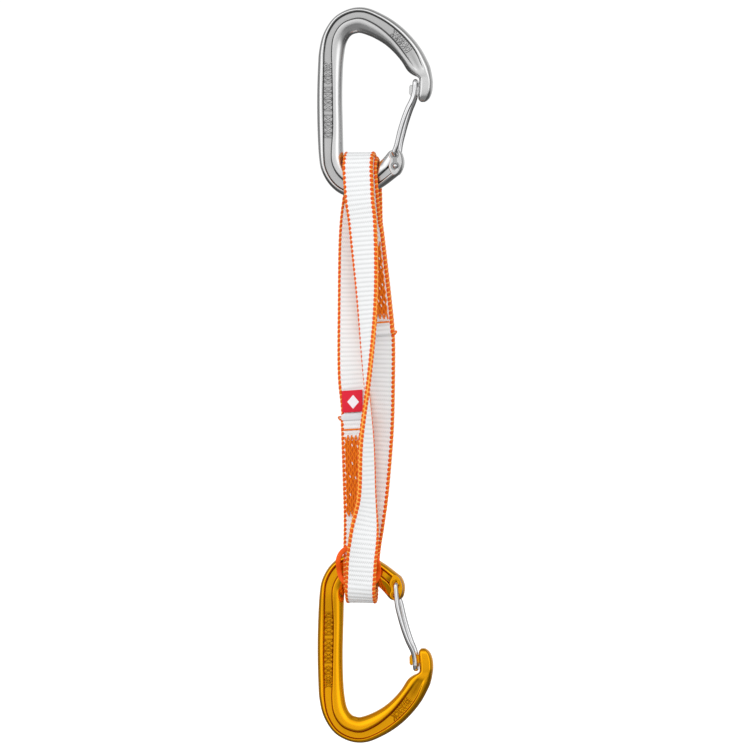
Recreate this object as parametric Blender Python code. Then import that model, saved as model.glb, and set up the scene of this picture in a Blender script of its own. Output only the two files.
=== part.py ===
"""Climbing quickdraw: two identical wiregate carabiners joined by a sewn sling folded in three runs.

The draw hangs from its upper carabiner. +Z is up, +X is the gate side and the front faces -Y.
The origin is the top of the upper carabiner's inner edge, where a bolt hanger bears.
Lengths are in millimetres until MM scales them to metres as each mesh is made.
"""

import math

import bmesh
import bpy
from mathutils import Matrix, Vector

MM = 0.001

# Gap kept between touching pieces
GAP = 0.3

# Carabiner body, as pairs of edge points from the hinge end round to the nose:
# inner x, inner z, outer x, outer z, half thickness
BASKET_CENTRE = (1.95, -59.8)
BASKET_RADIUS = 9.6
BAR_HALF = 4.3
HINGE_STATIONS = [
    (18.0, -58.5, 20.8, -58.9, 2.2),
    (15.8, -59.4, 22.7, -60.9, 3.7),
    (13.6, -61.9, 23.3, -65.4, 4.15),
    (11.4, -64.2, 21.8, -70.0, 4.2),
]
BASKET_STATIONS = [
    (-40, 18.0, -73.4),
    (-60, 12.4, -77.4),
    (-80, 6.2, -80.6),
    (-100, -1.2, -82.3),
    (-120, -8.6, -80.8),
    (-140, -14.6, -76.0),
    (-160, -18.6, -69.2),
    (-180, -20.1, -61.5),
]
SPINE_AND_ARM_STATIONS = [
    (-7.95, -48.0, -20.9, -47.0, 3.8),
    (-8.3, -32.0, -21.1, -32.0, 3.7),
    (-8.0, -18.0, -20.7, -17.0, 3.8),
    (-7.2, -9.5, -20.0, -8.0, 4.0),
    (-6.0, -4.3, -17.6, 0.6, 4.2),
    (-3.9, -1.1, -12.2, 8.3, 4.3),
    (-1.2, 0.0, -4.2, 12.5, 4.3),
    (1.6, 0.0, 4.0, 12.8, 4.3),
    (7.4, -2.2, 12.4, 9.4, 4.3),
    (13.2, -5.6, 20.0, 4.6, 4.2),
    (17.8, -9.6, 26.6, -1.5, 4.0),
    (21.8, -14.2, 32.0, -8.4, 3.9),
    (24.9, -19.0, 35.9, -15.8, 3.8),
    (27.6, -21.2, 37.0, -19.3, 3.7),
    (30.6, -22.8, 37.6, -22.6, 3.6),
    (31.0, -25.0, 37.9, -25.2, 3.6),
    (30.7, -29.5, 37.6, -29.2, 3.5),
    (30.5, -32.6, 36.5, -32.3, 3.2),
    (31.2, -34.3, 34.7, -34.3, 2.2),
]
STEPS_PER_STATION = 2

# Height of the small flat land where the hanger or the rope bears
SEAT_Z = 0.0

# Cross-section of the body: rims rounded over these lengths, with a groove between them on each face
OUTER_ROUND = 2.4
INNER_ROUND = 4.0
INNER_LAND = 1.2
GROOVE_START = 0.25
GROOVE_END = 0.66
GROOVE_WALL = 0.5
GROOVE_DEPTH = 1.1

# Nose hook: a tongue between the gate's legs, with a raised tip
TONGUE_HALF = 1.5
TONGUE = [(32.0, -27.4), (27.3, -27.4), (27.3, -25.9), (26.0, -26.6), (25.9, -31.0), (27.2, -32.0), (32.0, -31.4)]

# Gate: one bent wire whose ends sit in two holes of the hinge end
WIRE_RADIUS = 1.2
NEAR_HOLE = (19.3, -61.3)
FAR_HOLE = (19.6, -67.0)
HOLE_RADIUS = WIRE_RADIUS + GAP
LEG_OFFSET = 5.7
WIRE_BEND = 1.4
GATE_LEG = [
    (20.5, -5.7, -56.6),
    (22.2, -5.6, -49.5),
    (24.0, -5.3, -43.5),
    (25.9, -4.7, -38.3),
    (27.6, -3.9, -34.6),
    (28.6, -3.3, -31.6),
    (29.1, -3.0, -28.4),
    (29.2, -2.9, -26.3),
]
CROSSBAR = (29.2, -24.5)
HEEL_STUB = 2.0

# Lower carabiner: the same part turned half a turn about X
LOWER_OFFSET = (0.8, 0.0, -343.4)

# Sling webbing
WEB_WIDTH = 15.2
WEB_HALF = 1.0
UPPER_CROWN_Z = -69.2
UPPER_EYE_Z = -69.2
LOWER_CROWN_Z = -275.2
CROWN_STEPS = 10

# Middle of the sling, where its two halves bend on each other
BEND_Z = -172.0
BEND_GAP_UPPER = 5.5
BEND_GAP_LOWER = 1.5
BEND_GAP_EDGE_UPPER = 9.0
BEND_GAP_EDGE_LOWER = 3.8

# Keeper ring
RING_CENTRE = (1.8, -267.7)
RING_SIZE = (10.2, 10.1)
RING_HALF_WIDTH = 1.2
RING_HALF_DEPTH = 0.6
RING_FRONT_Y = -9.1
RING_BACK_Y = -5.3
RING_FOOT_Y = -3.4
RING_FOOT_START = 0.78
RING_STEPS = 40

# Stitching and label, which lie on the webbing's faces
THREAD_HALF = 0.25
THREAD_WIDTH = 13.0
SPLICE_FACE = 2.15


def clear_scene():
    for obj in list(bpy.data.objects):
        bpy.data.objects.remove(obj)


def make_material(name, colour, roughness, metallic):
    material = bpy.data.materials.new(name)
    material.use_nodes = True
    shader = material.node_tree.nodes["Principled BSDF"]
    shader.inputs["Base Color"].default_value = (*colour, 1.0)
    shader.inputs["Roughness"].default_value = roughness
    shader.inputs["Metallic"].default_value = metallic
    return material


def catmull_rom(points, steps):
    """A smooth curve through the points, with `steps` samples on each span."""
    rows = [Vector(p) for p in points]
    padded = [2 * rows[0] - rows[1], *rows, 2 * rows[-1] - rows[-2]]
    curve = []
    for i in range(1, len(padded) - 2):
        a, b, c, d = padded[i - 1 : i + 3]
        for step in range(steps):
            t = step / steps
            curve.append(
                0.5 * (2 * b + (c - a) * t + (2 * a - 5 * b + 4 * c - d) * t**2 + (3 * b - a - 3 * c + d) * t**3)
            )
    return [*curve, rows[-1]]


def spline_rows(rows, steps):
    """The same for rows of any length, taken three columns at a time."""
    width = len(rows[0])
    padded = [tuple(row) + (0.0,) * (-width % 3) for row in rows]
    blocks = [catmull_rom([row[k : k + 3] for row in padded], steps) for k in range(0, len(padded[0]), 3)]
    return [tuple(value for part in parts for value in part)[:width] for parts in zip(*blocks)]


def link_mesh(name, bm, material):
    """Turns a bmesh in millimetres into a named object in metres, with its faces pointing out."""
    bmesh.ops.scale(bm, vec=(MM, MM, MM), verts=bm.verts)
    bmesh.ops.recalc_face_normals(bm, faces=bm.faces)
    mesh = bpy.data.meshes.new(name)
    bm.to_mesh(mesh)
    bm.free()
    mesh.shade_smooth()
    mesh.set_sharp_from_angle(angle=math.radians(35))
    mesh.materials.append(material)
    obj = bpy.data.objects.new(name, mesh)
    bpy.context.scene.collection.objects.link(obj)
    return obj


def loft(rings, closed=False):
    """Skins the rings in order; the last ring joins the first one if closed, otherwise both ends are capped."""
    bm = bmesh.new()
    rows = [[bm.verts.new(point) for point in ring] for ring in rings]
    pairs = list(zip(rows, rows[1:]))
    if closed:
        pairs.append((rows[-1], rows[0]))
    for row, following in pairs:
        for i in range(len(row)):
            j = (i + 1) % len(row)
            bm.faces.new((row[i], row[j], following[j], following[i]))
    if not closed:
        bm.faces.new(rows[0])
        bm.faces.new(rows[-1])
    return bm


def body_stations():
    """Edge points of the body from the hinge end to the nose, with the basket's inner edge on a true arc."""
    basket = []
    for degrees, outer_x, outer_z in BASKET_STATIONS:
        angle = math.radians(degrees)
        inner_x = BASKET_CENTRE[0] + BASKET_RADIUS * math.cos(angle)
        inner_z = BASKET_CENTRE[1] + BASKET_RADIUS * math.sin(angle)
        basket.append((inner_x, inner_z, outer_x, outer_z, BAR_HALF))
    rows = spline_rows(HINGE_STATIONS + basket + SPINE_AND_ARM_STATIONS, STEPS_PER_STATION)
    return [(inner_x, min(inner_z, SEAT_Z), *rest) for inner_x, inner_z, *rest in rows]


def rim_height(distance, rounding, half):
    """Half thickness of the section at a distance from its rounded edge."""
    if distance >= rounding:
        return half
    return half * math.sqrt(1 - (1 - distance / rounding) ** 2)


def body_section(inner_x, inner_z, outer_x, outer_z, half, groove):
    """One closed ring of the body: outer rim, groove and inner rim on the front, then the same on the back."""
    width = math.hypot(inner_x - outer_x, inner_z - outer_z)
    outer_round = min(OUTER_ROUND, 0.3 * width)
    inner_round = min(INNER_ROUND, 0.4 * width)
    start = GROOVE_START * width
    end = GROOVE_END * width
    wall = min(GROOVE_WALL, 0.3 * (end - start))
    floor = half - GROOVE_DEPTH * groove
    profile = [(0.1 * outer_round, rim_height(0.1 * outer_round, outer_round, half))]
    profile.append((0.45 * outer_round, rim_height(0.45 * outer_round, outer_round, half)))
    profile.append((0.97 * start, half))
    profile.append((start + wall, floor))
    profile.append((end - wall, floor))
    profile.append((end, half))
    profile.append((width - 0.45 * inner_round, rim_height(0.45 * inner_round, inner_round, half)))
    profile.append((width, min(INNER_LAND, 0.4 * half)))
    ring = []
    for side, points in ((-1, profile), (1, reversed(profile))):
        for along, y in points:
            u = along / width
            ring.append((outer_x + (inner_x - outer_x) * u, side * y, outer_z + (inner_z - outer_z) * u))
    return ring


def groove_strength(index, count):
    """The groove fades out towards the hinge end and the nose."""
    place = index / (count - 1)
    fade_in = min(max((place - 0.09) / 0.06, 0.0), 1.0)
    fade_out = min(max((0.80 - place) / 0.07, 0.0), 1.0)
    return fade_in * fade_out


def turned_for(lower):
    """World placement of a carabiner's pieces, in millimetres."""
    if not lower:
        return Matrix.Identity(4)
    return Matrix.Translation(LOWER_OFFSET) @ Matrix.Rotation(math.pi, 4, "X")


def hole_cutter(x, z):
    bm = bmesh.new()
    bmesh.ops.create_cone(bm, cap_ends=True, segments=14, radius1=HOLE_RADIUS, radius2=HOLE_RADIUS, depth=20.0)
    bmesh.ops.rotate(bm, cent=(0, 0, 0), matrix=Matrix.Rotation(math.pi / 2, 3, "X"), verts=bm.verts)
    bmesh.ops.translate(bm, vec=(x, 0, z), verts=bm.verts)
    return bm


def extrude_outline(outline, half):
    """A flat plate in the XZ plane, as thick as twice half."""
    front = [(x, -half, z) for x, z in outline]
    back = [(x, half, z) for x, z in outline]
    return loft([front, back])


def add_helper(obj, helper_name, bm, operation, placement):
    """Unites or cuts the object with a hidden helper solid."""
    bmesh.ops.transform(bm, matrix=placement, verts=bm.verts)
    helper = link_mesh(helper_name, bm, obj.data.materials[0])
    helper.hide_render = True
    helper.display_type = "WIRE"
    modifier = obj.modifiers.new(helper_name, "BOOLEAN")
    modifier.operation = operation
    modifier.solver = "EXACT"
    modifier.object = helper


def make_body(name, lower, material):
    stations = body_stations()
    rings = [body_section(*row, groove_strength(i, len(stations))) for i, row in enumerate(stations)]
    placement = turned_for(lower)
    bm = loft(rings)
    bmesh.ops.transform(bm, matrix=placement, verts=bm.verts)
    body = link_mesh(name, bm, material)
    add_helper(body, name + "_tongue", extrude_outline(TONGUE, TONGUE_HALF), "UNION", placement)
    for hole, (x, z) in (("near", NEAR_HOLE), ("far", FAR_HOLE)):
        add_helper(body, f"{name}_{hole}_hole", hole_cutter(x, z), "DIFFERENCE", placement)
    return body


def make_wire(name, points, placement, material):
    """A round wire through the points, as a bevelled curve with filled caps."""
    curve = bpy.data.curves.new(name, "CURVE")
    curve.dimensions = "3D"
    curve.bevel_depth = WIRE_RADIUS * MM
    curve.bevel_resolution = 2
    curve.use_fill_caps = True
    spline = curve.splines.new("POLY")
    spline.points.add(len(points) - 1)
    for target, point in zip(spline.points, points):
        target.co = (*(placement @ Vector(point) * MM), 1.0)
    curve.materials.append(material)
    obj = bpy.data.objects.new(name, curve)
    bpy.context.scene.collection.objects.link(obj)
    return obj


def quarter_bend(corner, towards, away, radius, steps=4):
    """Points round a right-angled corner, from the side it comes from to the side it leaves by."""
    centre = Vector(corner) + Vector(towards) * radius + Vector(away) * radius
    points = []
    for step in range(steps + 1):
        angle = math.pi / 2 * step / steps
        points.append(tuple(centre - Vector(away) * radius * math.cos(angle) - Vector(towards) * radius * math.sin(angle)))
    return points


def make_gate(name, lower, material):
    """The moving wire: near-hole pin, front leg, crossbar and back leg; its far end is a piece of its own."""
    near_x, near_z = NEAR_HOLE
    far_x, far_z = FAR_HOLE
    pin = [(near_x, BAR_HALF + 0.6, near_z)]
    pin += quarter_bend((near_x, -LEG_OFFSET, near_z), (0, 1, 0), (0, 0, 1), WIRE_BEND)
    front = catmull_rom([(near_x, -LEG_OFFSET, near_z + WIRE_BEND), *GATE_LEG], 2)[1:]
    back_bottom = (far_x, LEG_OFFSET, far_z + HEEL_STUB + GAP)
    back_leg = [(x, -y, z) for x, y, z in reversed(GATE_LEG)]
    back = catmull_rom([*back_leg, back_bottom], 2)
    bar_x, bar_z = CROSSBAR
    corner_y = -GATE_LEG[-1][1]
    crossbar = [(bar_x, -corner_y * 0.86, bar_z - 0.5), (bar_x, -corner_y * 0.5, bar_z)]
    crossbar += [(bar_x, corner_y * 0.5, bar_z), (bar_x, corner_y * 0.86, bar_z - 0.5)]
    placement = turned_for(lower)
    make_wire(name, pin + front + crossbar + back, placement, material)
    heel = [(far_x, -BAR_HALF - 0.6, far_z)]
    heel += quarter_bend((far_x, LEG_OFFSET, far_z), (0, -1, 0), (0, 0, 1), WIRE_BEND)
    heel.append((far_x, LEG_OFFSET, far_z + HEEL_STUB))
    make_wire(name + "_heel", heel, placement, material)


def ribbon(rows, half_width, half_thickness):
    """Rings of a flat strip. Each row is x, y, z and the turn of its width from +X towards -Y, in degrees."""
    rings = []
    for i, (x, y, z, turn) in enumerate(rows):
        before = Vector(rows[max(i - 1, 0)][:3])
        after = Vector(rows[min(i + 1, len(rows) - 1)][:3])
        along = (after - before).normalized()
        angle = math.radians(turn)
        across = Vector((math.cos(angle), -math.sin(angle), 0.0))
        across = (across - along * across.dot(along)).normalized()
        face = along.cross(across)
        centre = Vector((x, y, z))
        corners = ((-1, -1), (1, -1), (1, 1), (-1, 1))
        rings.append([centre + across * half_width * a + face * half_thickness * b for a, b in corners])
    return rings


def crown(x_start, x_end, y_start, y_end, z, up, turn):
    """Rows of the half circle where a strip turns over a bar, from y_start to y_end."""
    centre_y = (y_start + y_end) / 2
    radius = (y_start - y_end) / 2
    rows = []
    for step in range(1, CROWN_STEPS):
        share = step / CROWN_STEPS
        angle = math.pi * share
        y = centre_y + radius * math.cos(angle)
        rise = abs(radius) * math.sin(angle)
        rows.append((x_start + (x_end - x_start) * share, y, z + up * rise, turn))
    return rows


def make_strip(name, down, over, back, half_width, material):
    """A webbing strip that comes along one run, turns over a bar and leaves along another run."""
    rows = spline_rows(down, 3) + over + spline_rows(back, 3)
    return link_mesh(name, loft(ribbon(rows, half_width, WEB_HALF)), material)


def make_upper_strips(material):
    left_run = [
        (-3.1, 2.7, BEND_Z + BEND_GAP_UPPER, 0),
        (-3.4, 4.4, -134.0, 0),
        (-3.1, 5.2, -102.0, 0),
        (-2.0, 8.3, -84.0, 0),
        (0.6, 8.5, UPPER_CROWN_Z, 0),
    ]
    front_run = [
        (1.3, -8.5, UPPER_CROWN_Z, 0),
        (2.4, -9.3, -84.0, 7),
        (4.0, -8.4, -98.0, 15),
        (6.2, -8.2, -134.0, 40),
        (6.6, -9.2, BEND_Z + BEND_GAP_EDGE_UPPER, 62),
    ]
    over = crown(0.6, 1.3, 8.5, -8.5, UPPER_CROWN_Z, 1, 0)
    make_strip("strap_upper_loop", left_run, over, front_run, WEB_WIDTH / 2, material)
    tail_run = [
        (10.9, -1.15, -151.6, 0),
        (9.2, -1.15, -134.0, 0),
        (5.6, -1.15, -103.0, 0),
        (4.4, -2.2, -95.0, 0),
        (3.7, -5.7, -80.0, 0),
        (2.9, -6.0, UPPER_EYE_Z, 0),
    ]
    right_run = [
        (2.5, 6.0, UPPER_EYE_Z, 0),
        (3.4, 5.6, -80.0, 0),
        (4.4, 2.2, -95.0, 0),
        (5.6, 1.15, -103.0, 0),
        (9.2, 1.15, -134.0, 0),
        (10.9, 0.9, -151.6, 0),
        (10.8, 0.0, BEND_Z + BEND_GAP_UPPER, 0),
    ]
    over = crown(2.9, 2.5, -6.0, 6.0, UPPER_EYE_Z, 1, 0)
    make_strip("strap_upper_eye", tail_run, over, right_run, WEB_WIDTH / 2, material)


def make_lower_strips(material):
    front_run = [
        (6.7, -10.2, BEND_Z - BEND_GAP_EDGE_LOWER, 70),
        (6.5, -11.0, -205.0, 102),
        (6.5, -10.8, -234.0, 116),
        (5.7, -13.4, -252.0, 152),
        (4.5, -13.0, -264.0, 172),
        (3.7, -11.4, LOWER_CROWN_Z, 180),
    ]
    right_run = [
        (1.2, 8.4, LOWER_CROWN_Z, 180),
        (2.7, 7.8, -259.0, 180),
        (5.4, 4.7, -245.0, 180),
        (7.4, 4.4, -230.0, 180),
        (9.8, 4.3, -200.0, 180),
        (10.6, 3.2, BEND_Z - BEND_GAP_LOWER, 180),
    ]
    over = crown(3.7, 1.2, -11.4, 8.4, LOWER_CROWN_Z, -1, 180)
    make_strip("strap_lower_loop", front_run, over, right_run, WEB_WIDTH / 2, material)
    flap_run = [
        (-0.8, -1.15, -192.3, 0),
        (0.6, -1.15, -232.0, 0),
        (0.9, -1.3, -246.0, 0),
        (1.6, -5.6, -258.0, 0),
        (1.9, -7.1, -266.0, 0),
        (1.9, -7.1, LOWER_CROWN_Z, 0),
    ]
    left_run = [
        (1.9, 5.9, LOWER_CROWN_Z, 0),
        (1.7, 5.6, -262.0, 0),
        (0.9, 1.3, -246.0, 0),
        (0.6, 1.15, -232.0, 0),
        (-0.8, 1.15, -192.3, 0),
        (-2.6, 1.0, BEND_Z - BEND_GAP_LOWER, 0),
    ]
    over = crown(1.9, 1.9, -7.1, 5.9, LOWER_CROWN_Z, -1, 0)
    make_strip("strap_lower_eye", flap_run, over, left_run, WEB_WIDTH / 2, material)


def make_patch(name, top, bottom, face_y, half_width, material):
    """A thin plate on a strip's face, between two places given as x and z."""
    rows = [(top[0], face_y, top[1], 0), (bottom[0], face_y, bottom[1], 0)]
    return link_mesh(name, loft(ribbon(rows, half_width, THREAD_HALF)), material)


def make_stitching(material):
    """Bar tacks on both faces of each splice, and the single row that closes each tail."""
    front = -(SPLICE_FACE + GAP + THREAD_HALF)
    back = SPLICE_FACE + GAP + THREAD_HALF
    half = THREAD_WIDTH / 2
    make_patch("upper_bar_tack_front", (6.0, -106.5), (9.8, -142.0), front, half, material)
    make_patch("upper_bar_tack_back", (6.0, -106.5), (9.8, -142.0), back, half, material)
    make_patch("upper_end_stitch", (10.2, -145.0), (10.3, -145.9), front, half, material)
    make_patch("lower_bar_tack_front", (-0.4, -202.8), (0.7, -241.0), front, half, material)
    make_patch("lower_bar_tack_back", (-0.4, -202.8), (0.7, -241.0), back, half, material)
    make_patch("lower_end_stitch", (-0.55, -198.6), (-0.5, -199.5), front, half, material)


def make_label(material):
    make_patch("label", (-3.4, -179.6), (-3.1, -190.2), -0.65, 5.9, material)


def ring_depth(sine):
    """The ring passes in front of the eye at its top, and between the eye and the bar at its foot."""
    if sine > -0.35:
        share = min(max((0.35 - sine) / 0.7, 0.0), 1.0)
        return RING_FRONT_Y + (RING_BACK_Y - RING_FRONT_Y) * share
    share = min(max((-RING_FOOT_START - sine) / (1 - RING_FOOT_START), 0.0), 1.0)
    return RING_BACK_Y + (RING_FOOT_Y - RING_BACK_Y) * share


def make_ring(material):
    rings = []
    for step in range(RING_STEPS):
        angle = 2 * math.pi * step / RING_STEPS
        out_x = math.cos(angle)
        out_z = math.sin(angle)
        centre = Vector((RING_CENTRE[0] + RING_SIZE[0] * out_x, ring_depth(out_z), RING_CENTRE[1] + RING_SIZE[1] * out_z))
        outwards = Vector((out_x, 0, out_z))
        ring = []
        for corner in range(8):
            turn = 2 * math.pi * corner / 8
            across = outwards * RING_HALF_WIDTH * math.cos(turn)
            ring.append(centre + across + Vector((0, RING_HALF_DEPTH * math.sin(turn), 0)))
        rings.append(ring)
    return link_mesh("keeper_ring", loft(rings, closed=True), material)


def main():
    clear_scene()
    bare = make_material("bare_aluminium", (0.78, 0.78, 0.77), 0.24, 1.0)
    gold = make_material("gold_anodised", (0.86, 0.45, 0.04), 0.26, 1.0)
    steel = make_material("gate_steel", (0.72, 0.71, 0.70), 0.16, 1.0)
    webbing = make_material("white_webbing", (0.86, 0.85, 0.83), 0.85, 0.0)
    thread = make_material("orange_thread", (0.88, 0.30, 0.03), 0.7, 0.0)
    red = make_material("red_label", (0.70, 0.04, 0.03), 0.7, 0.0)
    rubber = make_material("orange_rubber", (0.90, 0.16, 0.01), 0.42, 0.0)
    make_body("upper_carabiner_body", False, bare)
    make_gate("upper_gate_wire", False, steel)
    make_body("lower_carabiner_body", True, gold)
    make_gate("lower_gate_wire", True, steel)
    make_upper_strips(webbing)
    make_lower_strips(webbing)
    make_stitching(thread)
    make_label(red)
    make_ring(rubber)


main()
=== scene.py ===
import math

import bmesh
import bpy
from mathutils import Matrix, Vector
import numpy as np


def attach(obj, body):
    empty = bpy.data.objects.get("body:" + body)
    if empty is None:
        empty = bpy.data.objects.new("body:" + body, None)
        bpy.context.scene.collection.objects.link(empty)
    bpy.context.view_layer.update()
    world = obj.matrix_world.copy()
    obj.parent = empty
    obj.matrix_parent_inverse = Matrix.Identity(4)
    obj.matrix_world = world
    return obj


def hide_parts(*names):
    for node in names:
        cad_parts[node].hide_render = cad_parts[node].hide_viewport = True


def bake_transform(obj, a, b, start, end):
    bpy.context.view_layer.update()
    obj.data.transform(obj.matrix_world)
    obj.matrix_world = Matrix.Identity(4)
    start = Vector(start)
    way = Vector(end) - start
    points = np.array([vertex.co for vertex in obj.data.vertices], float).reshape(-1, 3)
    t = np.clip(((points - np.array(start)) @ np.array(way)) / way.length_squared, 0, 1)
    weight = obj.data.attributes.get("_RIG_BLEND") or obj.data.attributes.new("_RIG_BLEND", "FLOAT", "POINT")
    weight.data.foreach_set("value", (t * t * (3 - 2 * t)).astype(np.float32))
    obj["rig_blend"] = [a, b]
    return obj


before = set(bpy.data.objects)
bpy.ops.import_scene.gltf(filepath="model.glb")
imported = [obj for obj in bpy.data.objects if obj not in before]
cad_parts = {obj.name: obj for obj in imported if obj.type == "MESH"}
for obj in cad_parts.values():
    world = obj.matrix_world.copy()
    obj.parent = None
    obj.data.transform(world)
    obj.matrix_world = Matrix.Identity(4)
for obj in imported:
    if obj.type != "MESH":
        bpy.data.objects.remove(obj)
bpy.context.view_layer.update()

MM = 0.001

# Camera: an upright view from a little to the gate side, level with the middle of the draw.
# Angles in degrees, distance and frame width in metres, offset and height in millimetres
CAMERA_AZIMUTH = 10.3
CAMERA_DISTANCE = 2.0
FRAME_WIDTH = 0.377
FRAME_OFFSET = 8.6
CAMERA_ROLL = 0.11
FRAME_HEIGHT = -171.7

# Carabiner body, as in the CAD, with the groove's two edges as shares of the width and its depth:
# inner x, inner z, outer x, outer z, half thickness, groove start, groove end, groove depth
BASKET_CENTRE = (1.95, -59.8)
BASKET_RADIUS = 9.6
BAR_HALF = 4.3
HINGE_STATIONS = [
    (18.0, -58.5, 20.8, -58.9, 1.8, 0.25, 0.60, 0.0),
    (15.8, -59.4, 22.7, -60.9, 2.9, 0.24, 0.60, 0.0),
    (13.6, -61.9, 23.3, -65.4, 3.2, 0.22, 0.60, 0.5),
    (11.4, -64.2, 21.8, -70.0, 3.7, 0.20, 0.58, 1.1),
]
BASKET_STATIONS = [
    (-40, 18.0, -73.4, 0.18, 0.56),
    (-60, 12.4, -77.4, 0.17, 0.55),
    (-80, 6.2, -80.6, 0.16, 0.54),
    (-100, -1.2, -82.3, 0.15, 0.54),
    (-120, -8.6, -80.8, 0.15, 0.54),
    (-140, -14.6, -76.0, 0.16, 0.55),
    (-160, -18.6, -69.2, 0.18, 0.57),
    (-180, -20.1, -61.5, 0.21, 0.60),
]
SPINE_AND_ARM_STATIONS = [
    (-7.95, -48.0, -20.9, -47.0, 3.8, 0.24, 0.685, 1.2),
    (-8.3, -32.0, -21.1, -32.0, 3.7, 0.24, 0.695, 1.2),
    (-8.0, -18.0, -20.7, -17.0, 3.8, 0.23, 0.645, 1.2),
    (-7.2, -9.5, -20.0, -8.0, 4.0, 0.2, 0.575, 1.2),
    (-6.0, -4.3, -17.6, 0.6, 4.2, 0.17, 0.515, 1.2),
    (-3.9, -1.1, -12.2, 8.3, 4.3, 0.15, 0.495, 1.2),
    (-1.2, 0.0, -4.2, 12.5, 4.3, 0.14, 0.495, 1.2),
    (1.6, 0.0, 4.0, 12.8, 4.3, 0.14, 0.495, 1.2),
    (7.4, -2.2, 12.4, 9.4, 4.3, 0.15, 0.545, 1.2),
    (13.2, -5.6, 20.0, 4.6, 4.2, 0.17, 0.625, 1.2),
    (17.8, -9.6, 26.6, -1.5, 4.0, 0.18, 0.685, 1.1),
    (21.8, -14.2, 32.0, -8.4, 3.9, 0.19, 0.715, 0.9),
    (24.9, -19.0, 35.9, -15.8, 3.8, 0.24, 0.66, 0.35),
    (27.6, -21.2, 37.0, -19.3, 3.7, 0.25, 0.66, 0.0),
    (30.6, -22.8, 37.6, -22.6, 3.6, 0.25, 0.66, 0.0),
    (31.0, -25.0, 37.9, -25.2, 3.6, 0.25, 0.66, 0.0),
    (30.7, -29.5, 37.6, -29.2, 3.5, 0.25, 0.66, 0.0),
    (30.5, -32.6, 36.5, -32.3, 3.2, 0.25, 0.66, 0.0),
    (31.0, -34.0, 35.2, -33.9, 2.5, 0.25, 0.66, 0.0),
    (31.9, -34.8, 33.9, -34.8, 1.2, 0.25, 0.66, 0.0),
]
BODY_STEPS = 6

# The groove and roundings keep their full size down to this width, and shrink with it below
FULL_WIDTH = 9.0
INNER_ROUND = 6.2
OUTER_ROUND_SHARE = 0.92
INNER_ROUND_SHARE = 0.9
GROOVE_DEPTH = 1.2

# Groove wall: distance from the groove's edge, share of its depth, and how dark the painted shade in the
# crease is there
GROOVE_WALL = [
    (-0.05, 0.0, 0.0),
    (0.14, 0.06, 0.0),
    (0.34, 0.30, 0.5),
    (0.54, 0.66, 1.0),
    (0.74, 0.92, 1.0),
    (0.94, 1.0, 0.55),
    (1.15, 1.0, 0.3),
]

# The same painted shade for the wall on the inner side, read in the same order as GROOVE_WALL
INNER_CREASE_SHADE = [0.3, 0.45, 0.8, 1.0, 1.0, 0.8, 0.35]

# A groove this deep has full painted shade in its creases. Its floor's painted shade is darkest where it
# runs out, and lighter where it is deep
DEEP_GROOVE = 1.1
RUNOUT_SHADE = 1.8
FLOOR_SHADE = 0.3
OUTER_ROUND_STEPS = 8
INNER_ROUND_STEPS = 9

# Hinge cheek: a raised plate round the two holes, with a sunk figure of eight inside it
CHEEK = [
    (18.6, -58.7),
    (17.0, -59.8),
    (16.3, -61.7),
    (17.0, -64.1),
    (16.2, -67.2),
    (17.0, -69.6),
    (18.4, -71.6),
    (20.6, -70.9),
    (22.1, -68.5),
    (22.9, -65.2),
    (22.3, -61.4),
    (20.6, -59.0),
]
CHEEK_HALF = 4.25
RECESS_RADIUS = 2.25
RECESS_FLOOR = 3.4
RECESS_WAIST = (18.4, 20.5)
RECESS_WAIST_HALF = 1.6
CUTTER_REACH = 6.0
PIN_HEAD = 1.6
EDGE_BEVEL = 0.45

# Nose tongue that the gate's crossbar closes on
TONGUE_HALF = 1.5
TONGUE = [
    (32.0, -27.4),
    (27.3, -27.4),
    (27.3, -25.9),
    (26.0, -26.6),
    (25.9, -31.0),
    (27.2, -32.0),
    (32.0, -31.4),
]

# Gate wire and the two holes that hold its ends
WIRE_RADIUS = 1.2
NEAR_HOLE = (19.3, -61.3)
FAR_HOLE = (19.6, -67.0)
HOLE_RADIUS = 1.45
LEG_OFFSET = 5.7
WIRE_BEND = 1.4
GATE_LEG = [
    (20.5, -5.7, -56.6),
    (22.2, -5.6, -49.5),
    (24.0, -5.3, -43.5),
    (25.9, -4.7, -38.3),
    (27.6, -3.9, -34.6),
    (28.6, -3.3, -31.6),
    (29.1, -3.0, -28.4),
    (29.2, -2.9, -26.3),
]
CROSSBAR = (29.2, -24.5)
LEG_STEPS = 12
CROSSBAR_STEPS = 10
WIRE_SIDES = 32

# Marks on the groove's floor: how many, rows of the body from one to the next, and half width.
# Every twelfth on the spine is left out
SPINE_MARKS = (36, 0.45, 1.75)
ARM_MARKS = (14, 0.72, 1.6)
SPINE_MARKS_GAP = 12
ARM_MARKS_START = 9.15
CHEVRON_LEAN = 0.45

# Where the lower carabiner stands, once it is turned upside down
LOWER_OFFSET = (0.8, 0.0, -343.4)

# Webbing, with a beaded orange edge on each side
CORE_HALF_WIDTH = 6.9
CORE_HALF = 1.0
RIB_PITCH = 2.3
RIB_HEIGHT = 0.17
RIB_MIDDLE = 0.75
RIB_WAVER = 0.045
YARNS_AROUND = 28.0
YARN_WAVER = 0.14
STRAP_STEP = 0.32
EDGE_PLACE = 6.78
EDGE_HALF_WIDTH = 0.95
EDGE_HALF = 1.12
BEAD_HEIGHT = 0.36
BEAD_MIDDLE = 0.4
BEAD_SLANT = 0.22

# Degrees round the edge where its two columns of beads start and end
EDGE_COLUMNS = (0, 180, 360)

# Heights where the webbing starts to turn over the bars
UPPER_CROWN_Z = -69.2
UPPER_EYE_Z = -69.2
LOWER_CROWN_Z = -275.2
CROWN_STEPS = 12
STRAP_STEPS = 16

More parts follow.
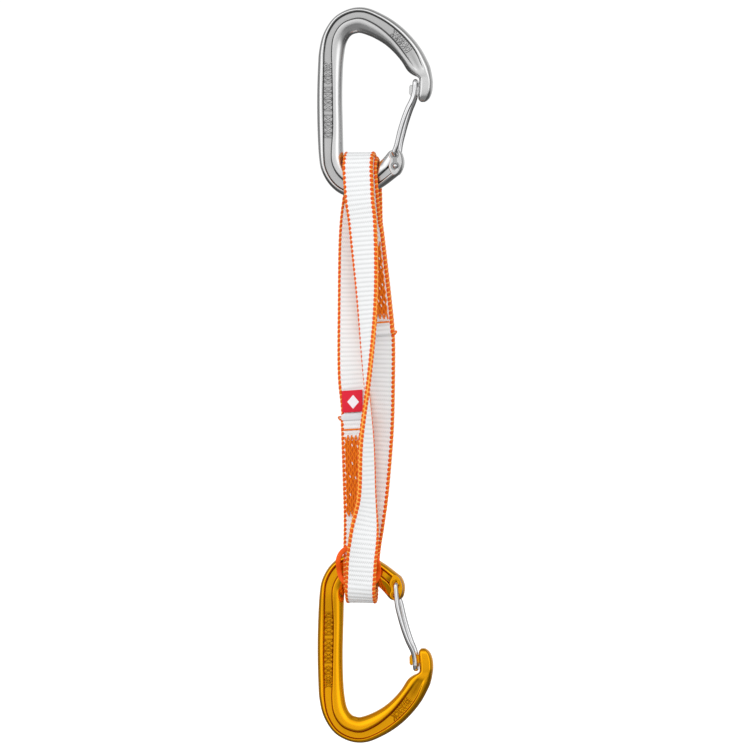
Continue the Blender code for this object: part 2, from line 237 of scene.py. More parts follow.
# Bar tacks: columns of zigzag stitches, and white flecks between them
STITCH_COLUMNS = 12
STITCH_LENGTH = 1.9
STITCH_LEAN = 0.34
STITCH_RADIUS = 0.40
STITCH_WOBBLE = 0.10
STITCH_LIFTS = (-0.05, 0.16)
RAGGED_ENDS = (0.5, 1.4)
FLECK_STEPS = (0.7549, 0.5698)
FLECK_MARGIN = 0.06
FLECK_RUN = 0.86
FLECK_SPREAD = 0.82
FLECK_LIFT = 0.42
FLECK_LENGTH = 0.9
FLECK_LEAN = 0.22
FLECK_RADIUS = 0.26
TACK_Y = 2.45
TACK_HALF_WIDTH = 6.0

# Each end's tack: the middle of its top and of its bottom, and the number of flecks
TACKS = [
    ("upper", (6.0, -106.5), (9.8, -142.0), 34),
    ("lower", (-0.4, -203.6), (0.7, -241.0), 12),
]

# Each end's closing row of stitches: its left and right end
CLOSING_ROWS = [
    ("upper", (4.2, -145.9), (16.2, -145.0)),
    ("lower", (-6.6, -199.4), (5.6, -198.6)),
]
ROW_Y = -2.35
ROW_STITCHES = 5
THREAD_RADIUS = 0.42

# Label: its top, height, half width, thickness to each side and the rhombus on it
LABEL_TOP = (-2.9, -179.4)
LABEL_HEIGHT = 11.0
LABEL_Y = -0.72
LABEL_BULGE = 0.25
LABEL_HALF_WIDTH = 5.25
LABEL_HALF = 0.2
RHOMBUS_CENTRE = (-2.2, -185.2)
RHOMBUS_SIZE = (3.0, 3.5)

# Folded end of the flap
FOLD_START = -8.0
FOLD_WIDTH = 14.6
FOLD_CENTRE = (-2.45, -192.6)
FOLD_HALF = (0.38, 1.75)

# Keeper ring
RING_CENTRE = (1.8, -267.7)
RING_SIZE = (10.2, 10.1)
RING_FULLNESS = 0.8
RING_FRONT_Y = -9.1
RING_BACK_Y = -5.3
RING_FOOT_Y = -3.4
RING_FOOT_START = 0.78
RING_STEPS = 96
RING_HALF_WIDTH = 1.3
RING_HALF = 0.62

# Stage, in metres
FLOOR_SIZE = 12.0
FLOOR_Z = -0.42
LIGHT_TARGET = (0.005, 0, -0.17)
SENSOR_WIDTH = 36.0


# Helpers


def catmull_rom(points, steps):
    """A smooth curve through the points, with `steps` samples on each span."""
    rows = [Vector(p) for p in points]
    padded = [2 * rows[0] - rows[1], *rows, 2 * rows[-1] - rows[-2]]
    curve = []
    for i in range(1, len(padded) - 2):
        a, b, c, d = padded[i - 1 : i + 3]
        square = 2 * a - 5 * b + 4 * c - d
        cube = 3 * b - a - 3 * c + d
        for step in range(steps):
            t = step / steps
            curve.append(0.5 * (2 * b + (c - a) * t + square * t**2 + cube * t**3))
    return [*curve, rows[-1]]


def spline_rows(rows, steps):
    """The same for rows of any length, taken three columns at a time."""
    width = len(rows[0])
    padded = [tuple(row) + (0.0,) * (-width % 3) for row in rows]
    blocks = [catmull_rom([row[k : k + 3] for row in padded], steps) for k in range(0, len(padded[0]), 3)]
    return [tuple(value for part in parts for value in part)[:width] for parts in zip(*blocks)]


def squared(value, power):
    """A sine or cosine raised to a power with its sign kept: powers below 1 make a circle squarer."""
    return math.copysign(abs(value) ** power, value)


def loft(bm, rings, closed=False):
    """Skins the rings in order into bm; open ends are capped. Returns each span's faces."""
    rows = [[bm.verts.new(point) for point in ring] for ring in rings]
    pairs = list(zip(rows, rows[1:]))
    if closed:
        pairs.append((rows[-1], rows[0]))
    spans = []
    for row, following in pairs:
        span = []
        for i in range(len(row)):
            j = (i + 1) % len(row)
            span.append(bm.faces.new((row[i], row[j], following[j], following[i])))
        spans.append(span)
    if not closed:
        bm.faces.new(rows[0])
        bm.faces.new(rows[-1])
    return spans


def link(name, bm, material, sharp=40):
    """Turns a bmesh in millimetres into a named object in metres."""
    bmesh.ops.scale(bm, vec=(MM, MM, MM), verts=bm.verts)
    bmesh.ops.recalc_face_normals(bm, faces=bm.faces)
    mesh = bpy.data.meshes.new(name)
    bm.to_mesh(mesh)
    bm.free()
    mesh.shade_smooth()
    mesh.set_sharp_from_angle(angle=math.radians(sharp))
    for one in material if isinstance(material, list) else [material]:
        mesh.materials.append(one)
    obj = bpy.data.objects.new(name, mesh)
    bpy.context.scene.collection.objects.link(obj)
    return obj


def tube(bm, points, radius, sides):
    """A round tube along the points, with frames carried along it and domed ends."""
    rows = [Vector(p) for p in points]
    up = Vector((0.31, 0.47, 0.83))
    rings = []
    for i, centre in enumerate(rows):
        along = (rows[min(i + 1, len(rows) - 1)] - rows[max(i - 1, 0)]).normalized()
        across = (up - along * up.dot(along)).normalized()
        other = along.cross(across)
        up = across
        caps = [(0.0, 1.0)]
        if i == 0:
            caps = [(-0.8, 0.45), (-0.55, 0.8), (-0.25, 0.96), (0.0, 1.0)]
        if i == len(rows) - 1:
            caps = [(0.0, 1.0), (0.25, 0.96), (0.55, 0.8), (0.8, 0.45)]
        for shift, size in caps:
            ring = []
            for side in range(sides):
                turn = 2 * math.pi * side / sides
                offset = across * math.cos(turn) + other * math.sin(turn)
                ring.append(centre + along * (shift * radius) + offset * (radius * size))
            rings.append(ring)
    loft(bm, rings)


def shader_material(name, colour, roughness, metallic=0.0):
    """A Principled material and its shader; what isn't metal is kept from shining."""
    material = bpy.data.materials.new(name)
    material.use_nodes = True
    shader = material.node_tree.nodes["Principled BSDF"]
    shader.inputs["Base Color"].default_value = (*colour, 1.0)
    shader.inputs["Roughness"].default_value = roughness
    shader.inputs["Metallic"].default_value = metallic
    if metallic == 0.0:
        shader.inputs["Specular IOR Level"].default_value = 0.2
    return material, shader


def add_grain(material, shader, scale, strength, distance):
    """Fine relief from a noise in the object's own coordinates."""
    nodes = material.node_tree.nodes
    links = material.node_tree.links
    place = nodes.new("ShaderNodeTexCoord")
    noise = nodes.new("ShaderNodeTexNoise")
    noise.inputs["Scale"].default_value = scale
    noise.inputs["Detail"].default_value = 3.0
    bump = nodes.new("ShaderNodeBump")
    bump.inputs["Strength"].default_value = strength
    bump.inputs["Distance"].default_value = distance
    links.new(place.outputs["Object"], noise.inputs["Vector"])
    links.new(noise.outputs["Fac"], bump.inputs["Height"])
    links.new(bump.outputs["Normal"], shader.inputs["Normal"])


def math_node(nodes, links, operation, first, second=None):
    """A Math node's output, fed by an output and either another output or a number."""
    node = nodes.new("ShaderNodeMath")
    node.operation = operation
    links.new(first, node.inputs[0])
    if isinstance(second, (int, float)):
        node.inputs[1].default_value = second
    elif second is not None:
        links.new(second, node.inputs[1])
    return node.outputs[0]


def ramped(nodes, links, value, stops):
    """The value put through a grey ramp with the (position, grey) stops."""
    ramp = nodes.new("ShaderNodeValToRGB")
    elements = ramp.color_ramp.elements
    while len(elements) < len(stops):
        elements.new(0.5)
    for element, (position, grey) in zip(elements, stops):
        element.position = position
        element.color = (grey, grey, grey, 1.0)
    links.new(value, ramp.inputs["Fac"])
    return ramp.outputs["Color"]


def colour_by_mark(material, shader, attribute, unmarked, marked, stops):
    """Base colour from unmarked to marked, by a layer of the mesh put through a ramp."""
    nodes = material.node_tree.nodes
    links = material.node_tree.links
    mark = nodes.new("ShaderNodeAttribute")
    mark.attribute_name = attribute
    mix = nodes.new("ShaderNodeMix")
    mix.data_type = "RGBA"
    mix.inputs[6].default_value = (*unmarked, 1.0)
    mix.inputs[7].default_value = (*marked, 1.0)
    links.new(ramped(nodes, links, mark.outputs["Fac"], stops), mix.inputs[0])
    links.new(mix.outputs[2], shader.inputs["Base Color"])


# Materials


def metal(name, colour, roughness, crease_shade=None, metallic=1.0, start=0.0):
    """Metal with painted shade: darker in the creases that the mesh marks above the start value."""
    material, shader = shader_material(name, colour, roughness, metallic)
    add_grain(material, shader, 900.0, 0.03, 0.0002)
    if crease_shade:
        colour_by_mark(material, shader, "crease_shade", colour, crease_shade, [(start, 0.0), (1.0, 1.0)])
    return material


def edge_material(dark, light):
    """Two yarns: the mesh marks where the dark stitches stand out."""
    material, shader = shader_material("yarn_edge", dark, 0.55)
    add_grain(material, shader, 2600.0, 0.5, 0.0001)
    stops = [(0.0, 0.0), (0.36, 0.0), (0.50, 1.0), (1.0, 1.0)]
    colour_by_mark(material, shader, "crest", light, dark, stops)
    return material


def webbing_material():
    """White yarn, greyer in the rib valleys as painted shade. The UV map runs in yarns round the strap and
    in millimetres along it.
    """
    material, shader = shader_material("webbing_white", (0.84, 0.86, 0.88), 0.85)
    nodes = material.node_tree.nodes
    links = material.node_tree.links
    uv = nodes.new("ShaderNodeUVMap")
    uv.uv_map = "UVMap"
    split = nodes.new("ShaderNodeSeparateXYZ")
    links.new(uv.outputs["UV"], split.inputs[0])
    turn = math_node(nodes, links, "MULTIPLY", split.outputs[0], 2 * math.pi)
    waver = math_node(nodes, links, "SINE", turn)
    shift = math_node(nodes, links, "MULTIPLY", waver, YARN_WAVER)
    ribs = math_node(nodes, links, "DIVIDE", split.outputs[1], RIB_PITCH)
    place = math_node(nodes, links, "ADD", ribs, shift)
    half_turn = math_node(nodes, links, "MULTIPLY", place, math.pi)
    wave = math_node(nodes, links, "SINE", half_turn)
    height = math_node(nodes, links, "ABSOLUTE", wave)
    # Painted shade: the valleys between the ribs are greyer than the crests
    shade = ramped(nodes, links, height, [(0.0, 0.66), (0.30, 0.81), (0.7, 0.89), (1.0, 0.91)])
    tint = nodes.new("ShaderNodeMix")
    tint.data_type = "RGBA"
    tint.blend_type = "MULTIPLY"
    tint.inputs[0].default_value = 1.0
    tint.inputs[7].default_value = (0.978, 0.99, 0.996, 1.0)
    links.new(shade, tint.inputs[6])
    links.new(tint.outputs[2], shader.inputs["Base Color"])
    bump = nodes.new("ShaderNodeBump")
    bump.inputs["Strength"].default_value = 0.6
    bump.inputs["Distance"].default_value = 0.0002
    links.new(height, bump.inputs["Height"])
    links.new(bump.outputs["Normal"], shader.inputs["Normal"])
    return material


def yarn(name, colour):
    """Plain thread or cloth with a fine grain."""
    material, shader = shader_material(name, colour, 0.55)
    add_grain(material, shader, 2600.0, 0.5, 0.0001)
    return material


# Carabiners


def turned_for(lower):
    """Takes the upper carabiner's shape to where it stands: the lower one is upside down."""
    if not lower:
        return Matrix.Identity(4)
    return Matrix.Translation(LOWER_OFFSET) @ Matrix.Rotation(math.pi, 4, "X")


def body_rows():
    """Every section of the body, from the hinge round the basket and up the spine to the nose."""
    basket = []
    for degrees, outer_x, outer_z, start, end in BASKET_STATIONS:
        angle = math.radians(degrees)
        inner_x = BASKET_CENTRE[0] + BASKET_RADIUS * math.cos(angle)
        inner_z = BASKET_CENTRE[1] + BASKET_RADIUS * math.sin(angle)
        basket.append((inner_x, inner_z, outer_x, outer_z, BAR_HALF, start, end, GROOVE_DEPTH))
    return spline_rows(HINGE_STATIONS + basket + SPINE_AND_ARM_STATIONS, BODY_STEPS)


def body_profile(width, half, start, end, depth):
    """(distance from the outer edge, half thickness) from the outer edge to the inner edge."""
    size = min(1.0, width / FULL_WIDTH)
    first = start * width
    last = end * width
    outer_round = OUTER_ROUND_SHARE * first
    inner_round = min(INNER_ROUND * size, INNER_ROUND_SHARE * (width - last))
    profile = []
    for step in range(OUTER_ROUND_STEPS):
        angle = math.pi / 2 * step / (OUTER_ROUND_STEPS - 1)
        profile.append((outer_round * (1 - math.cos(angle)), half * math.sin(angle)))
    for shift, share, _ in GROOVE_WALL:
        profile.append((first + shift * size, half - depth * share))
    profile.append(((first + last) / 2, half - depth))
    for shift, share, _ in reversed(GROOVE_WALL):
        profile.append((last - shift * size, half - depth * share))
    for step in range(INNER_ROUND_STEPS):
        angle = math.pi / 2 * step / (INNER_ROUND_STEPS - 1)
        profile.append((width - inner_round * (1 - math.sin(angle)), half * math.cos(angle)))
    return profile


def body_ring(inner_x, inner_z, outer_x, outer_z, half, start, end, depth):
    """One section of the body as a closed ring: its front face, then its back face."""
    width = math.hypot(inner_x - outer_x, inner_z - outer_z)
    profile = body_profile(width, half, start, end, depth)
    ring = []
    for side, points in ((-1, profile), (1, list(reversed(profile))[1:-1])):
        for along, y in points:
            u = along / width
            ring.append((outer_x + (inner_x - outer_x) * u, side * y, outer_z + (inner_z - outer_z) * u))
    return ring


def plate(outline, y_from, y_to):
    """A flat plate in the XZ plane."""
    bm = bmesh.new()
    loft(bm, [[(x, y, z) for x, z in outline] for y in (y_from, y_to)])
    bmesh.ops.recalc_face_normals(bm, faces=bm.faces)
    return bm


def round_rims(bm, offset):
    """Rounds the edges round both faces of a plate."""
    flat = 1e-6
    rims = [e for e in bm.edges if abs(e.verts[0].co.y - e.verts[1].co.y) < flat]
    bmesh.ops.bevel(bm, geom=rims, offset=offset, segments=4, affect="EDGES", profile=0.6)


def circle(x, z, radius, count=40):
    """A circle's outline in the XZ plane."""
    turns = [2 * math.pi * k / count for k in range(count)]
    return [(x + radius * math.cos(turn), z + radius * math.sin(turn)) for turn in turns]


def cut(obj, bm):
    """Takes the solid bm out of the object."""
    helper = link("helper", bm, obj.data.materials[0])
    modifier = obj.modifiers.new("cut", "BOOLEAN")
    modifier.operation = "DIFFERENCE"
    modifier.solver = "EXACT"
    modifier.object = helper
    graph = bpy.context.evaluated_depsgraph_get()
    mesh = bpy.data.meshes.new_from_object(obj.evaluated_get(graph))
    obj.modifiers.remove(modifier)
    obj.data = mesh
    bpy.data.objects.remove(helper)


def make_cheek(material):
    """The plate that both wire ends sit in, at its place on the upper carabiner."""
    outline = [(p.x, p.z) for p in catmull_rom([(x, 0, z) for x, z in [*CHEEK, CHEEK[0]]], 5)[:-1]]
    bm = plate(outline, -CHEEK_HALF, CHEEK_HALF)
    round_rims(bm, EDGE_BEVEL)
    cheek = link("cheek", bm, material)
    for x, z in (NEAR_HOLE, FAR_HOLE):
        cut(cheek, plate(circle(x, z, HOLE_RADIUS, 28), -CUTTER_REACH, CUTTER_REACH))
        for side in (-1, 1):
            cut(cheek, plate(circle(x, z, RECESS_RADIUS), side * RECESS_FLOOR, side * CUTTER_REACH))
    middle = (NEAR_HOLE[1] + FAR_HOLE[1]) / 2
    left, right = RECESS_WAIST
    bottom = middle - RECESS_WAIST_HALF
    top = middle + RECESS_WAIST_HALF
    waist = [(left, bottom), (right, bottom), (right, top), (left, top)]
    for side in (-1, 1):
        cut(cheek, plate(waist, side * RECESS_FLOOR, side * CUTTER_REACH))
    return cheek


def mark_crease_shade(bm, spans, stations):
    """Marks how dark the painted shade in the groove's creases is, in a colour layer for the material."""
    layer = bm.verts.layers.float.new("crease_shade")
    for span, row in zip(spans, stations):
        depth = min(1.0, row[7] / DEEP_GROOVE)
        runout = RUNOUT_SHADE * depth * (1.0 - depth) + FLOOR_SHADE * depth * depth
        marks = [0.0] * OUTER_ROUND_STEPS
        marks += [dark * depth for _, _, dark in GROOVE_WALL]
        marks.append(runout)
        marks += [dark * depth for dark in reversed(INNER_CREASE_SHADE)]
        marks += [0.0] * INNER_ROUND_STEPS
        ring = marks + list(reversed(marks))[1:-1]
        for quad, dark in zip(span, ring):
            quad.verts[0][layer] = dark


def add_tongue(bm):
    """The tongue at the nose, with its edges bevelled."""
    tongue = [[(x, y, z) for x, z in TONGUE] for y in (-TONGUE_HALF, TONGUE_HALF)]
    before = set(bm.edges)
    loft(bm, tongue)
    added = [e for e in bm.edges if e not in before]
    bmesh.ops.bevel(bm, geom=added, offset=EDGE_BEVEL, segments=3, affect="EDGES")


def add_cheek(bm, material):
    """Copies the cheek into the body, with painted shade marked on its walls and, half as dark, on the floor
    of its recess.
    """
    cheek = make_cheek(material)
    cheek.data.transform(Matrix.Scale(1 / MM, 4))
    before = set(bm.verts)
    bm.from_mesh(cheek.data)
    bpy.data.objects.remove(cheek)
    layer = bm.verts.layers.float["crease_shade"]
    rim = 0.3
    slack = 0.01
    # Painted shade: full on the cheek's walls, half as dark on its recess floor and in its holes
    for vert in bm.verts:
        if vert not in before and abs(vert.co.y) < CHEEK_HALF - rim:
            vert[layer] = 0.5 if abs(vert.co.y) < RECESS_FLOOR + slack else 1.0


def make_body(side, lower, material):
    """One carabiner's body, with its grooves, tongue and hinge cheek."""
    stations = body_rows()
    bm = bmesh.new()
    spans = loft(bm, [body_ring(*row) for row in stations])
    mark_crease_shade(bm, spans, stations)
    add_tongue(bm)
    add_cheek(bm, material)
    bmesh.ops.transform(bm, matrix=turned_for(lower), verts=bm.verts)
    body = link(f"{side}_body_detail", bm, material, 38)
    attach(body, f"{side}_carabiner")
    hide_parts(f"{side}_carabiner_body")
    return body


def groove_place(rows, index):
    """Centre of the groove's floor, the direction along it and across it, at a fractional row index."""
    low = int(index)
    share = index - low
    a = [p + (q - p) * share for p, q in zip(rows[low], rows[low + 1])]
    middle = (a[5] + a[6]) / 2
    centre = Vector((a[2] + (a[0] - a[2]) * middle, 0, a[3] + (a[1] - a[3]) * middle))
    across = Vector((a[0] - a[2], 0, a[1] - a[3])).normalized()
    along = Vector((across.z, 0, -across.x))
    floor = a[4] - a[7]
    return centre, along, across, floor


def mark_places():
    """(row of the body, half width, shape) of each mark, on the spine and then on the arm."""
    spine = len(HINGE_STATIONS) + len(BASKET_STATIONS)
    places = []
    start = spine * BODY_STEPS - 2
    count, pitch, half_width = SPINE_MARKS
    for number in range(count):
        if (number + 1) % SPINE_MARKS_GAP:
            places.append((start + pitch * number, half_width, "b>b<>"[number % 5]))
    start = (spine + ARM_MARKS_START) * BODY_STEPS
    count, pitch, half_width = ARM_MARKS
    for number in range(count):
        places.append((start + pitch * number, half_width, "<b>"[number % 3]))
    return places


def make_marks(side, lower, material, dark):
    """Raised generic marks on the groove's floor, in place of any lettering: chevrons and bars, each on a
    dark outline that is painted shade round its foot.
    """
    rows = body_rows()
    places = mark_places()
    for layer, radius, sink in (("outline", 0.5, 0.28), ("crest", 0.2, -0.12)):
        bm = bmesh.new()
        for face in (-1, 1):
            for index, half_width, shape in places:
                centre, along, across, floor = groove_place(rows, index)
                centre.y = face * (floor - sink)
                tip = along * {"b": 0.0, "<": -CHEVRON_LEAN, ">": CHEVRON_LEAN}[shape]
                first = centre - across * half_width - tip
                last = centre + across * half_width - tip
                tube(bm, [first, centre + tip, last], radius, 8)
        bmesh.ops.transform(bm, matrix=turned_for(lower), verts=bm.verts)
        marks = link(f"{side}_marks_{layer}", bm, dark if layer == "outline" else material)
        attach(marks, f"{side}_carabiner")


def quarter_bend(corner, towards, away, radius, steps=7):
    """Points round a right-angled corner, from the side it comes from to the side it leaves by."""
    towards = Vector(towards) * radius
    away = Vector(away) * radius
    centre = Vector(corner) + towards + away
    points = []
    for step in range(steps + 1):
        angle = math.pi / 2 * step / steps
        points.append(centre - away * math.cos(angle) - towards * math.sin(angle))
    return points


def crossbar_turn():
    """The wire's turn over the crossbar, from the top of one leg to the top of the other."""
    bar_x, bar_z = CROSSBAR
    _, top_y, top_z = GATE_LEG[-1]
    half = [(bar_x, top_y, top_z), (bar_x, top_y * 0.84, bar_z - 0.55), (bar_x, top_y * 0.42, bar_z)]
    return half + [(x, -y, z) for x, y, z in reversed(half)]


def gate_path():
    """One wire from the near hole, up the front leg, over the crossbar and down to the far hole."""
    near_x, near_z = NEAR_HOLE
    far_x, far_z = FAR_HOLE
    inset = 0.1
    points = [Vector((near_x, BAR_HALF + inset, near_z)), Vector((near_x, 0, near_z))]
    points += quarter_bend((near_x, -LEG_OFFSET, near_z), (0, 1, 0), (0, 0, 1), WIRE_BEND)
    points += catmull_rom([(near_x, -LEG_OFFSET, near_z + WIRE_BEND), *GATE_LEG], LEG_STEPS)[1:]
    points += catmull_rom(crossbar_turn(), CROSSBAR_STEPS)[1:]
    back = [(x, -y, z) for x, y, z in reversed(GATE_LEG)]
    back.append((far_x, LEG_OFFSET, far_z + WIRE_BEND))
    points += catmull_rom(back, LEG_STEPS)[1:-1]
    points += list(reversed(quarter_bend((far_x, LEG_OFFSET, far_z), (0, -1, 0), (0, 0, 1), WIRE_BEND)))
    return points + [Vector((far_x, 0, far_z)), Vector((far_x, -BAR_HALF + inset, far_z))]


def make_gate(side, lower, material):
    """The gate's wire, with a pin head in the recess at each of its ends."""
    near_x, near_z = NEAR_HOLE
    far_x, far_z = FAR_HOLE
    bm = bmesh.new()
    tube(bm, gate_path(), WIRE_RADIUS, WIRE_SIDES)
    for x, z, y in ((far_x, far_z, -RECESS_FLOOR), (near_x, near_z, RECESS_FLOOR)):
        dome = bmesh.ops.create_uvsphere(bm, u_segments=20, v_segments=12, radius=PIN_HEAD)["verts"]
        bmesh.ops.translate(bm, vec=(x, y, z), verts=dome)
    placement = turned_for(lower)
    bmesh.ops.transform(bm, matrix=placement, verts=bm.verts)
    gate = link(f"{side}_gate_detail", bm, material)
    start = placement @ Vector((far_x, 0, far_z + 0.6)) * MM
    end = placement @ Vector((far_x, 0, near_z)) * MM
    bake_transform(gate, f"{side}_carabiner", f"{side}_gate", start, end)
    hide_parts(f"{side}_gate_wire", f"{side}_gate_wire_heel")
    return gate


# Sling


def crown(x_start, x_end, y_start, y_end, z, up, turn):
    """Rows of the half circle where the webbing turns over a bar."""
    rows = []
    for step in range(1, CROWN_STEPS):
        share = step / CROWN_STEPS
        angle = math.pi * share
        y = (y_start + y_end) / 2 + (y_start - y_end) / 2 * math.cos(angle)
        rise = abs(y_start - y_end) / 2 * math.sin(angle)
        rows.append((x_start + (x_end - x_start) * share, y, z + up * rise, turn))
    return rows


def strap_rows():
    """The whole webbing, from the tail on the upper splice to the flap on the lower one.

    Each row is x, y, z and the turn of its face in degrees.
    """
    tail = [
        (10.9, -1.15, -151.6, 180),
        (9.2, -1.15, -134.0, 180),
        (5.6, -1.15, -103.0, 180),
        (4.4, -2.2, -95.0, 180),
        (3.7, -5.7, -80.0, 180),
        (2.9, -6.0, UPPER_EYE_Z, 180),
    ]
    right = [
        (2.5, 6.0, UPPER_EYE_Z, 180),
        (3.4, 5.6, -80.0, 180),
        (4.4, 2.2, -95.0, 180),
        (5.6, 1.15, -103.0, 180),
        (9.2, 1.15, -134.0, 180),
        (10.9, 0.9, -151.6, 180),
        (10.9, 1.7, -172.0, 180),
        (9.8, 4.3, -200.0, 180),
        (7.4, 4.4, -230.0, 180),
        (5.4, 4.7, -245.0, 180),
        (2.7, 7.8, -259.0, 180),
        (1.2, 8.4, LOWER_CROWN_Z, 180),
    ]
    front = [
        (3.7, -11.4, LOWER_CROWN_Z, 180),
        (4.5, -13.0, -264.0, 172),
        (5.7, -13.4, -252.0, 152),
        (6.5, -10.8, -234.0, 116),
        (6.5, -11.0, -205.0, 104),
        (6.7, -10.2, -172.0, 71),
        (6.2, -8.2, -134.0, 40),
        (4.0, -8.4, -98.0, 15),
        (2.4, -9.3, -84.0, 7),
        (1.3, -8.5, UPPER_CROWN_Z, 0),
    ]
    left = [
        (0.6, 8.5, UPPER_CROWN_Z, 0),
        (-2.0, 8.3, -84.0, 0),
        (-3.1, 5.2, -102.0, 0),
        (-3.4, 4.4, -134.0, 0),
        (-2.9, 1.8, -170.0, 0),
        (-0.8, 1.15, -192.3, 0),
        (0.6, 1.15, -232.0, 0),
        (0.9, 1.3, -246.0, 0),
        (1.7, 5.6, -262.0, 0),
        (1.9, 5.9, LOWER_CROWN_Z, 0),
    ]
    flap = [
        (1.9, -7.1, LOWER_CROWN_Z, 0),
        (1.9, -7.1, -266.0, 0),
        (1.6, -5.6, -258.0, 0),
        (0.9, -1.3, -246.0, 0),
        (0.6, -1.15, -232.0, 0),
        (-0.8, -1.15, -192.3, 0),
    ]
    rows = tail + crown(2.9, 2.5, -6.0, 6.0, UPPER_EYE_Z, 1, 180) + right
    rows += crown(1.2, 3.7, 8.4, -11.4, LOWER_CROWN_Z, -1, 180) + front
    rows += crown(1.3, 0.6, -8.5, 8.5, UPPER_CROWN_Z, 1, 0) + left
    rows += crown(1.9, 1.9, 5.9, -7.1, LOWER_CROWN_Z, -1, 0) + flap
    return rows


def strap_frames():
    """(distance, centre, across, face) at even steps along the webbing."""
    dense = spline_rows(strap_rows(), STRAP_STEPS)
    places = [0.0]
    for a, b in zip(dense, dense[1:]):
        places.append(places[-1] + (Vector(b[:3]) - Vector(a[:3])).length)
    count = int(places[-1] / STRAP_STEP)
    rows = []
    k = 0
    for i in range(count + 1):
        distance = places[-1] * i / count
        while k < len(places) - 2 and places[k + 1] < distance:
            k += 1
        share = (distance - places[k]) / (places[k + 1] - places[k])
        rows.append((distance, [p + (q - p) * share for p, q in zip(dense[k], dense[k + 1])]))
    frames = []
    reach = 3
    for i, (distance, row) in enumerate(rows):
        before = Vector(rows[max(i - reach, 0)][1][:3])
        after = Vector(rows[min(i + reach, len(rows) - 1)][1][:3])
        along = (after - before).normalized()
        angle = math.radians(row[3])
        across = Vector((math.cos(angle), -math.sin(angle), 0.0))
        across = (across - along * across.dot(along)).normalized()
        frames.append((distance, Vector(row[:3]), across, along.cross(across)))
    return frames


def rib(distance, across):
    """Height of the weft ribs, from 0 in a valley to 1 on a crest; the valleys waver across the strap."""
    place = distance / RIB_PITCH + RIB_WAVER * math.sin(across * 4.1)
    return abs(math.sin(math.pi * place)) ** 0.6


def make_webbing(frames, material):
    """The white part of the strap, ribbed across, as one sheet from end to end."""
    bm = bmesh.new()
    rings = []
    columns = 26
    for distance, centre, across, face in frames:
        ring = []
        for side in (-1, 1):
            for column in range(columns + 1):
                a = side * (-1 + 2 * column / columns) * CORE_HALF_WIDTH
                half = CORE_HALF + RIB_HEIGHT * (rib(distance, a) - RIB_MIDDLE)
                ring.append(centre + across * a + face * (side * half))
        rings.append(ring)
    spans = loft(bm, rings)
    layer = bm.loops.layers.uv.new("UVMap")
    size = len(rings[0])
    for k, span in enumerate(spans):
        for i, quad in enumerate(span):
            corners = ((i, k), (i + 1, k), (i + 1, k + 1), (i, k + 1))
            for loop, (u, v) in zip(quad.loops, corners):
                loop[layer].uv = (u / size * YARNS_AROUND, frames[v][0])
    strap = link("webbing", bm, material, 75)
    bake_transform(strap, "sling_upper", "sling_lower", (0, 0, -0.1655), (0, 0, -0.1785))
    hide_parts("strap_upper_loop", "strap_upper_eye", "strap_lower_loop", "strap_lower_eye")
    return strap


def bead_height(distance, degrees):
    """Height of the beads at a place along the edge and an angle round it, from 0 to 1."""
    column = int(degrees >= EDGE_COLUMNS[1])
    low, high = EDGE_COLUMNS[column : column + 2]
    row = (degrees - low) / (high - low) - 0.5
    lateral = math.cos(math.pi * row)
    wave = abs(math.sin(math.pi * (distance / RIB_PITCH + 0.5 * column + BEAD_SLANT * row)))
    return wave**0.8 * (0.30 + 0.70 * max(lateral, 0.0) ** 0.5)


def make_edge(name, frames, side, material):
    """The beaded edge of the webbing: dark stitches in staggered columns, with light thread between them."""
    bm = bmesh.new()
    rings = []
    heights = []
    sides = 24
    for distance, centre, across, face in frames:
        ring = []
        height_row = []
        middle = centre + across * (side * EDGE_PLACE)
        for step in range(sides):
            turn = 2 * math.pi * step / sides
            height = bead_height(distance, 360 * step / sides)
            height_row.append(height)
            rise = BEAD_HEIGHT * (height - BEAD_MIDDLE)
            a = (EDGE_HALF_WIDTH + rise) * math.cos(turn)
            b = (EDGE_HALF + rise) * math.sin(turn)
            ring.append(middle + across * (side * a) + face * b)
        rings.append(ring)
        heights.append(height_row)
    layer = bm.verts.layers.float.new("crest")
    spans = loft(bm, rings)
    for k, span in enumerate(spans):
        for i, quad in enumerate(span):
            quad.verts[0][layer] = heights[k][i]
    for quad, height in zip(spans[-1], heights[-2]):
        for vert in quad.verts[2:]:
            vert[layer] = height
    edge = link(name, bm, material, 80)
    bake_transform(edge, "sling_upper", "sling_lower", (0, 0, -0.1655), (0, 0, -0.1785))
    return edge


def add_zigzag(bm, start, run, out, column):
    """One column of zigzag stitches, with ends as uneven as sewing leaves them."""
    offset = TACK_HALF_WIDTH * (-1 + 2 * (column + 0.5) / STITCH_COLUMNS)
    count = int(run.length / STITCH_LENGTH)
    points = []
    for k in range(count + 1):
        lean = STITCH_LEAN if (k + column) % 2 else -STITCH_LEAN
        ragged = 0.0
        if k in (0, count):
            ragged = (1 if k else -1) * RAGGED_ENDS[column % 2]
        wobble = STITCH_WOBBLE * math.sin(2.3 * k + 1.7 * column)
        aside = Vector((offset + lean + wobble, 0, 0))
        place = start + run * (k / count) + aside + run.normalized() * ragged
        place.y += STITCH_LIFTS[k % 2] * out
        points.append(place)
    tube(bm, points, STITCH_RADIUS + 0.05 * math.sin(3.1 * column), 6)


def add_fleck(bm, start, run, out, number):
    """A short bit of white webbing between the stitches. Two fixed steps keep the flecks out of line."""
    down, sideways = FLECK_STEPS
    along = FLECK_MARGIN + FLECK_RUN * (down * (number + 1) % 1)
    aside = TACK_HALF_WIDTH * FLECK_SPREAD * (2 * (sideways * (number + 1) % 1) - 1)
    place = start + run * along + Vector((aside, 0, 0))
    place.y += FLECK_LIFT * out
    end = place + run.normalized() * FLECK_LENGTH + Vector((FLECK_LEAN, 0, 0))
    tube(bm, [place, end], FLECK_RADIUS, 6)


